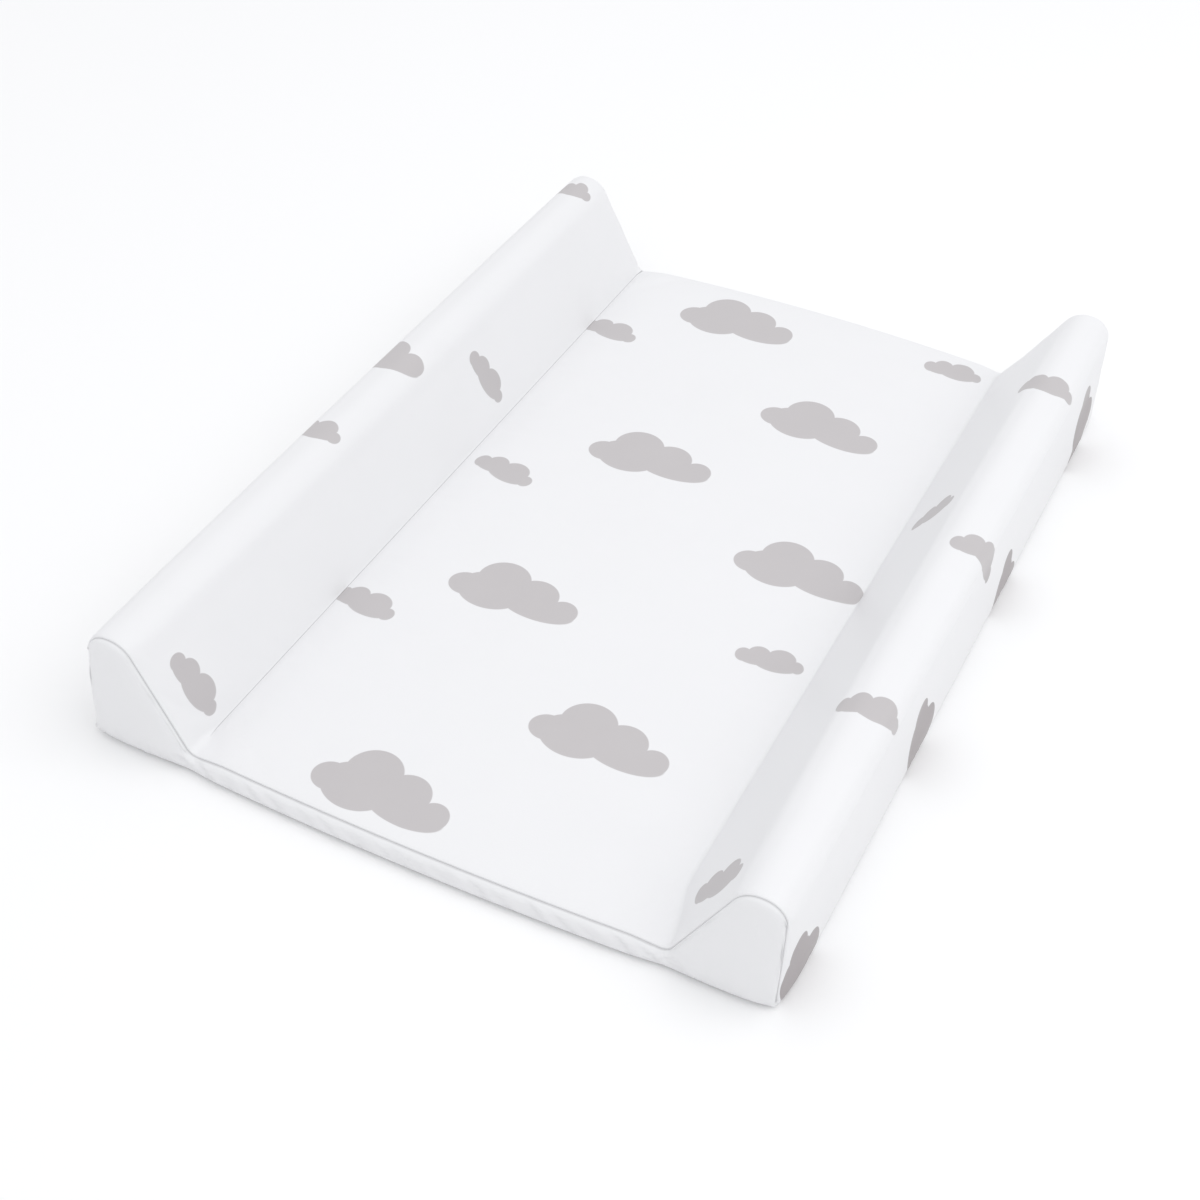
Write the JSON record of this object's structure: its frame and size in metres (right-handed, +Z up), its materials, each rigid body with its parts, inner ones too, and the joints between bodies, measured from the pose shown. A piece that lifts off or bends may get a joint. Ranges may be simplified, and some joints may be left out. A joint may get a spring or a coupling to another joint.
{
  "type": "baby changing pad",
  "caption": "Wipe-clean changing pad with a stiff base, a flat padded lying surface and a raised foam wedge along each long side.",
  "frame": {"origin": "middle of the underside, on the surface that the pad rests on", "axes": "+X across the pad from the left wedge to the right wedge, +Y along the pad towards the end with the vents, +Z up"},
  "size_m": [0.4996, 0.7, 0.0934],
  "materials": {
    "printed_film": "satin",
    "plain_film": "satin",
    "seam_film": "satin",
    "tie_film": "matte",
    "foam": "matte",
    "wadding": "matte",
    "board": "matte",
    "staple_wire": "satin",
    "eyelet_metal": "gloss"
  },
  "bodies": {
    "root": {"top_cover": "printed_film", "bottom_sheet": "plain_film", "front_end_panel": "plain_film", "rear_end_panel": "plain_film", "front_seam_welt": "seam_film", "rear_seam_welt": "seam_film", "right_bottom_seam": "seam_film", "left_bottom_seam": "seam_film", "front_bottom_seam": "seam_film", "rear_bottom_seam": "seam_film", "base_board": "board", "centre_foam": "foam", "centre_wadding": "wadding", "right_wedge_foam": "foam", "left_wedge_foam": "foam", "right_wedge_wadding": "wadding", "left_wedge_wadding": "wadding", "right_valley_tie": "tie_film", "left_valley_tie": "tie_film", "right_tie_staples": "staple_wire", "left_tie_staples": "staple_wire", "vent_eyelets": "eyelet_metal", "vent_washers": "eyelet_metal"}
  },
  "joints": []
}
